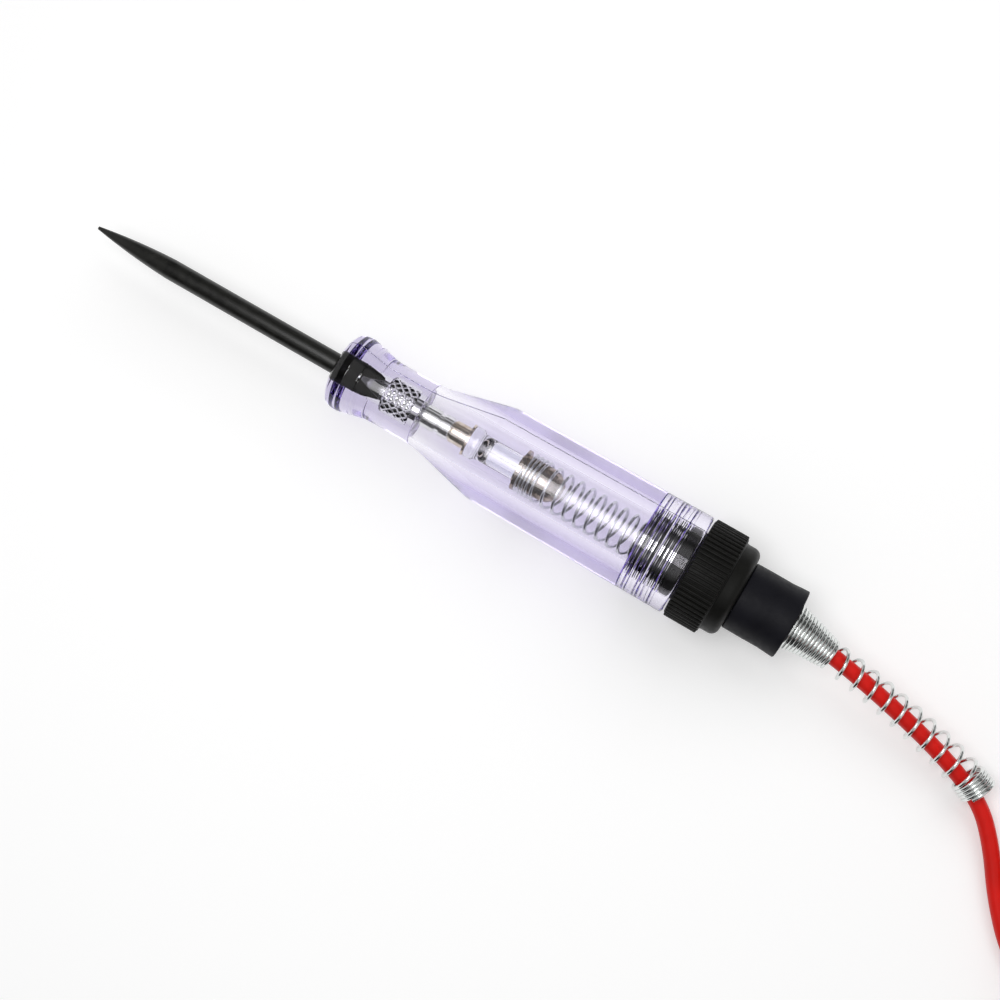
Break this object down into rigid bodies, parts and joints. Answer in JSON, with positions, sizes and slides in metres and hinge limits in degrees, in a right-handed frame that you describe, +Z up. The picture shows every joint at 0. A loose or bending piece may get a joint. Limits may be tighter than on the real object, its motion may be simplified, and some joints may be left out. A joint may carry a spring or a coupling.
{
  "type": "circuit test light",
  "caption": "Circuit test light with clear round handle, steel probe, bulb on a contact spring, screw cap, bend-relief spring and clip lead.",
  "frame": {"origin": "on the bench under the middle of the tool, from the probe's tip to the sleeve's end, measured without the lead and what is on it", "axes": "+X along the tool from the probe's tip to the end cap, +Z up from the bench"},
  "size_m": [0.3898, 0.0652, 0.026],
  "materials": {
    "clear_handle": "gloss",
    "black_steel": "satin",
    "plated_steel": "polished",
    "spring_steel": "satin",
    "nickel_brass": "satin",
    "bulb_glass": "gloss",
    "tungsten": "satin",
    "black_plastic": "matt",
    "black_sleeve": "matt",
    "red_lead": "satin",
    "red_grip": "satin",
    "clip_steel": "satin"
  },
  "bodies": {
    "handle": {"handle_body": "clear_handle", "probe_rod": "black_steel", "contact_stud": "plated_steel"},
    "bulb": {"bulb_front_cap": "nickel_brass", "bulb_glass": "bulb_glass", "bulb_rear_cap": "nickel_brass", "bulb_front_wire": "tungsten", "bulb_rear_wire": "tungsten", "bulb_filament": "tungsten", "contact_cup": "nickel_brass"},
    "lead_end": {"contact_spring": "spring_steel", "contact_disc": "nickel_brass", "lead_terminal": "nickel_brass", "relief_spring": "spring_steel", "lead": "red_lead", "lead_coil": "red_lead", "lead_tail": "red_lead", "clip_fixed_jaw": "clip_steel", "clip_pivot": "clip_steel", "clip_spring": "spring_steel"},
    "screw_cap": {"end_cap": "black_plastic", "cap_sleeve": "black_sleeve"},
    "clip_lever": {"clip_moving_jaw": "clip_steel", "clip_lever_grip": "red_grip"}
  },
  "joints": [
    {"name": "bulb_push", "type": "slide", "parent": "handle", "child": "bulb", "axis": [1, 0, 0], "range_m": [0, 0.003], "stiffness_N_per_m": 250, "springref_m": -0.008, "deforming": ["contact_spring"]},
    {"name": "cap_travel", "type": "slide", "parent": "handle", "child": "lead_end", "axis": [1, 0, 0], "range_m": [0, 0.009]},
    {"name": "cap_turn", "type": "hinge", "parent": "lead_end", "child": "screw_cap", "pos_m": [0.0711, 0, 0.013], "axis": [1, 0, 0], "range_deg": [0, 3240]},
    {"name": "clip_open", "type": "hinge", "parent": "lead_end", "child": "clip_lever", "pos_m": [0.2645, -0.0415, 0.0046], "axis": [0, 0, 1], "range_deg": [0, 20], "stiffness_Nm_per_rad": 0.06, "springref_deg": -34.38, "deforming": ["clip_spring"]}
  ],
  "couplings": [
    {"joint": "cap_turn", "follows": "cap_travel", "rad_per_m": 6283.2}
  ]
}
